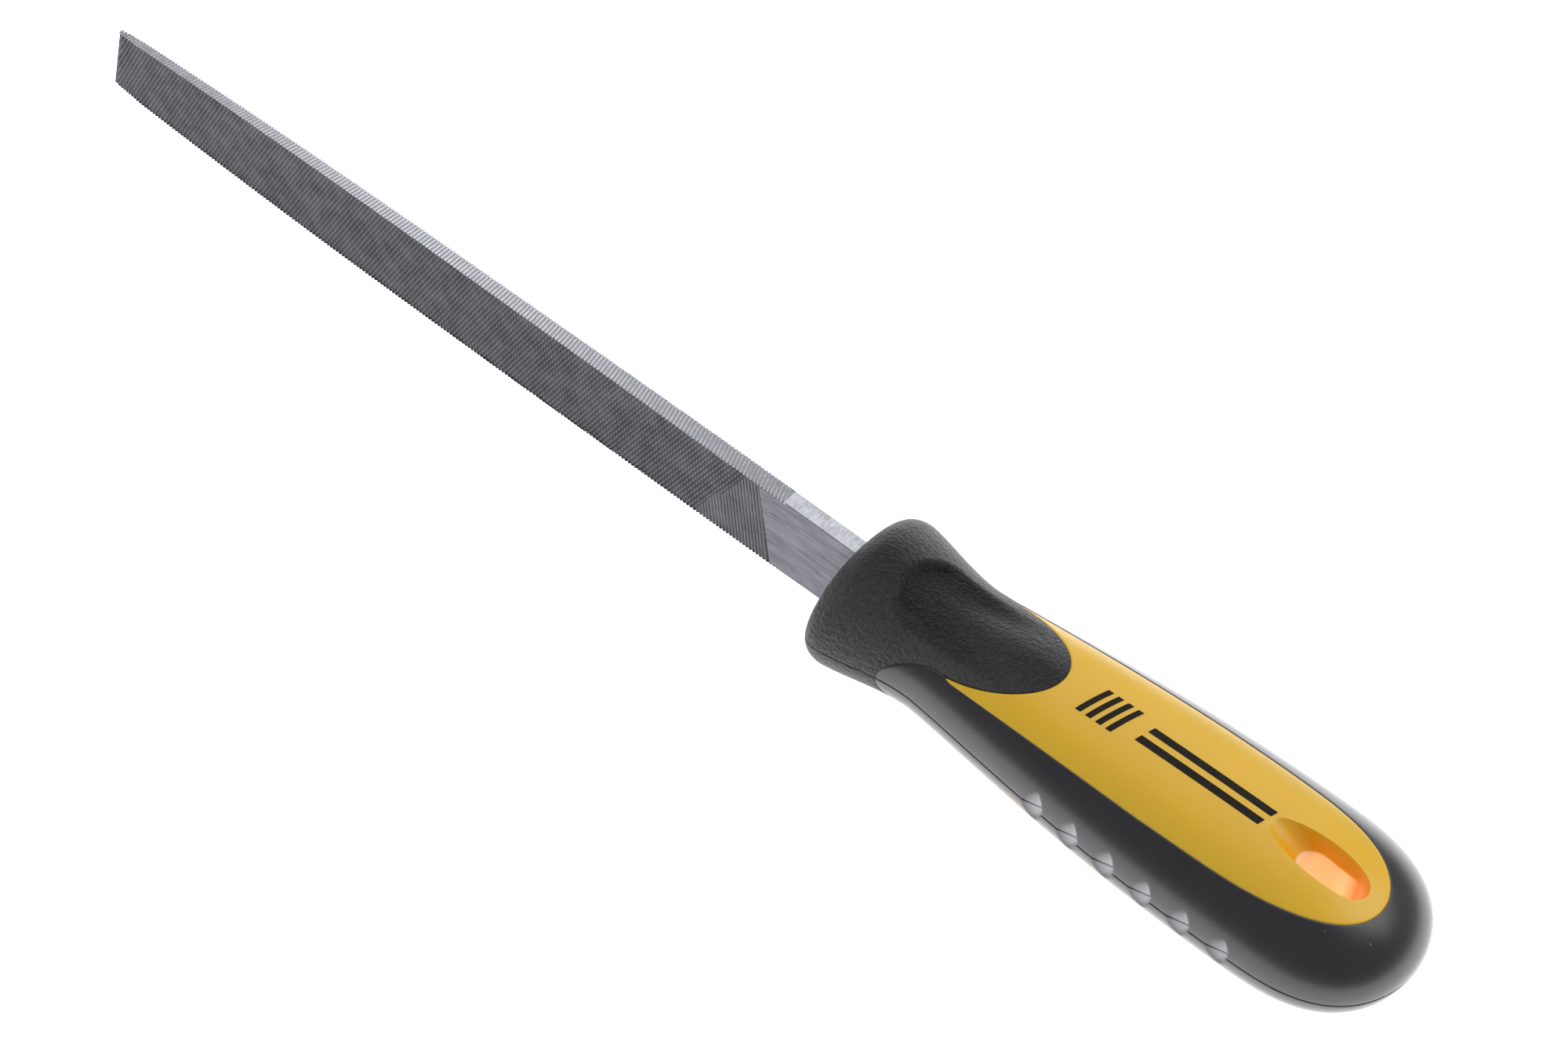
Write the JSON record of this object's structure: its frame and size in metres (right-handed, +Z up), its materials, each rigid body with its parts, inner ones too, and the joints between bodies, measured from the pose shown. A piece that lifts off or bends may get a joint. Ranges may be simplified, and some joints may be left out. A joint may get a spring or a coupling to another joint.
{
  "type": "flat file",
  "caption": "Flat metalworking file: tapered double-cut steel blade with a tang, set in a two-colour moulded handle with a textured finger guard, thumb pads and a hanging hole.",
  "frame": {"origin": "under the middle of the whole file's box, on the surface it lies on with a broad face of the handle up", "axes": "+X along the file from the tip of the blade to the butt of the handle, +Y square to the blade's wide faces, +Z up out of the broad face of the handle"},
  "size_m": [0.2558, 0.0312, 0.0218],
  "materials": {
    "blade": "hardened file steel, cut teeth, brushed bare heel",
    "core": "semi-gloss yellow hard plastic",
    "grip": "smooth satin soft rubber, near black",
    "collar": "soft rubber with a fine leather-like texture, near black"
  },
  "bodies": {
    "root": {"file_blade": "blade", "handle_core": "core", "soft_grip": "grip", "thumb_collar": "collar"}
  },
  "joints": []
}
